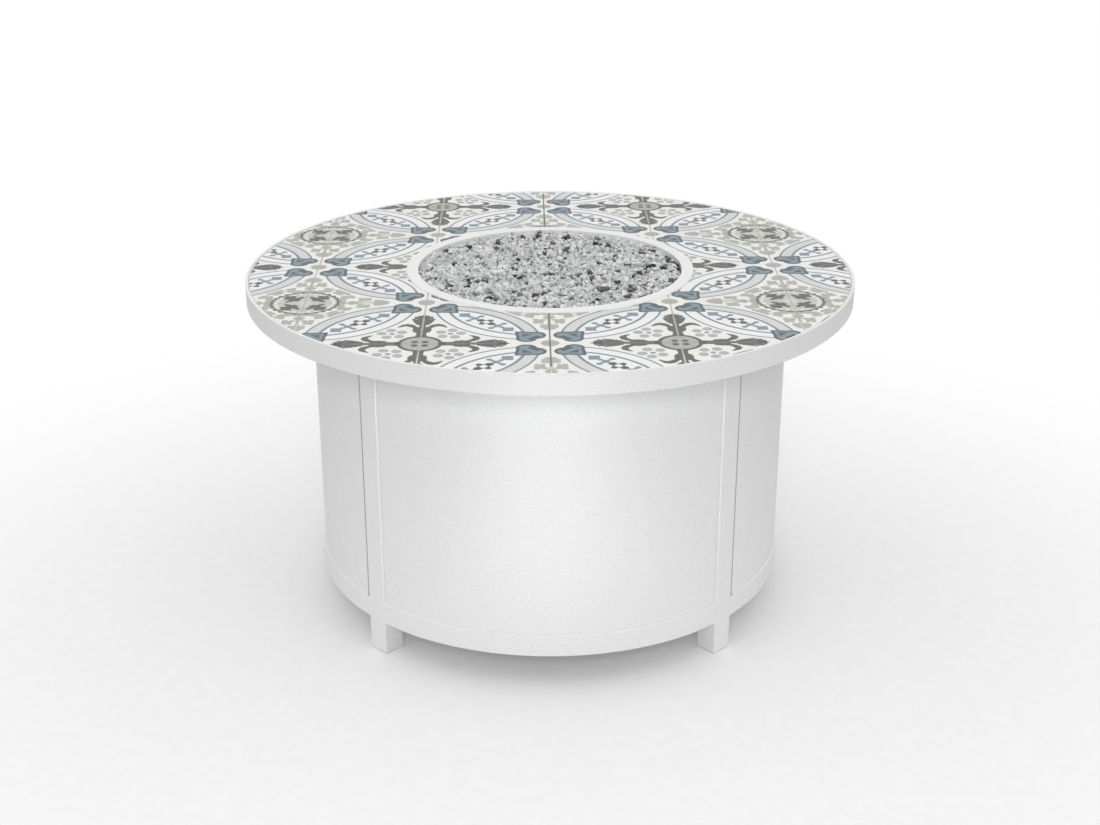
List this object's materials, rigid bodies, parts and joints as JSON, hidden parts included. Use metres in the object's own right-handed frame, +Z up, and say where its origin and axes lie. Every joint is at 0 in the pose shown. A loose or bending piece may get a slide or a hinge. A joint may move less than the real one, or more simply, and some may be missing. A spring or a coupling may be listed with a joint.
{
  "type": "fire pit",
  "caption": "Round gas fire pit table: patterned tile top with a bed of fire glass, on a white panelled drum base with square post feet and a rear access door.",
  "frame": {"origin": "on the floor, under the middle of the table", "axes": "+Z up, -Y towards the front, +X to the right as seen from the front"},
  "size_m": [1.0668, 1.0668, 0.607],
  "materials": {
    "white_powder_coat": "fine textured white powder coat",
    "bare_aluminium": "mill",
    "patterned_tile": "satin glaze with a printed pattern",
    "grout": "matt",
    "backer": "matt",
    "fire_glass": "broken, bright",
    "stainless": "brushed",
    "zinc_steel": "zinc plated",
    "brass": "machined",
    "black_plastic": "satin",
    "glide_plastic": "satin",
    "porcelain": "glazed",
    "copper_sheath": "drawn",
    "lead_sleeve": "silicone",
    "magnet": "matt"
  },
  "bodies": {
    "base": {"air_mixer": "zinc_steel", "backer_board": "backer", "bottom_rail": "white_powder_coat", "bracket_screws": "zinc_steel", "burner_collar": "white_powder_coat", "burner_hub": "stainless", "burner_locknut": "zinc_steel", "burner_pan": "stainless", "burner_ring": "stainless", "control_bracket": "white_powder_coat", "deck_bolts": "zinc_steel", "deck_plate": "bare_aluminium", "feed_tube": "bare_aluminium", "fire_glass": "fire_glass", "foot_glides": "glide_plastic", "front_panel": "white_powder_coat", "gas_elbow": "brass", "gas_valve": "brass", "grout": "grout", "heat_shield": "bare_aluminium", "hinge_leaves_post": "stainless", "hinge_pins": "stainless", "igniter_body": "black_plastic", "igniter_nut": "black_plastic", "ignition_bracket": "stainless", "inlet_fitting": "brass", "inlet_nipple": "zinc_steel", "left_panel": "white_powder_coat", "magnet_catch": "magnet", "outlet_fitting": "brass", "panel_screws": "zinc_steel", "post_front_left": "white_powder_coat", "post_front_right": "white_powder_coat", "post_rear_left": "white_powder_coat", "post_rear_right": "white_powder_coat", "right_panel": "white_powder_coat", "shield_standoffs": "zinc_steel", "spark_insulator": "porcelain", "spark_lead": "lead_sleeve", "spark_rod": "stainless", "thermocouple": "copper_sheath", "thermocouple_lead": "copper_sheath", "tile_row_1": "patterned_tile", "tile_row_2": "patterned_tile", "tile_row_3": "patterned_tile", "tile_row_4": "patterned_tile", "tile_row_5": "patterned_tile", "tile_row_6": "patterned_tile", "top_rail": "white_powder_coat", "top_rim": "white_powder_coat", "valve_nut": "zinc_steel"},
    "door": {"access_door": "white_powder_coat", "hinge_leaves_door": "stainless", "door_pull": "white_powder_coat", "door_strike": "zinc_steel"},
    "knob_push": {"push_washer": "zinc_steel"},
    "knob": {"valve_spindle": "stainless", "control_knob": "black_plastic"},
    "igniter": {"igniter_button": "black_plastic"}
  },
  "joints": [
    {"name": "door_hinge", "type": "hinge", "parent": "base", "child": "door", "pos_m": [-0.28691, 0.31767, 0.3195], "axis": [0, 0, 1], "range_deg": [0, 105]},
    {"name": "knob_push", "type": "slide", "parent": "base", "child": "knob_push", "axis": [0, -1, 0], "range_m": [0, 0.004], "stiffness_N_per_m": 800, "springref_m": -0.003},
    {"name": "knob_turn", "type": "hinge", "parent": "knob_push", "child": "knob", "pos_m": [0.2198, 0.3, 0.43], "axis": [0, 1, 0], "range_deg": [0, 200]},
    {"name": "igniter_press", "type": "slide", "parent": "base", "child": "igniter", "axis": [0, -1, 0], "range_m": [0, 0.005], "stiffness_N_per_m": 600, "springref_m": -0.003}
  ]
}
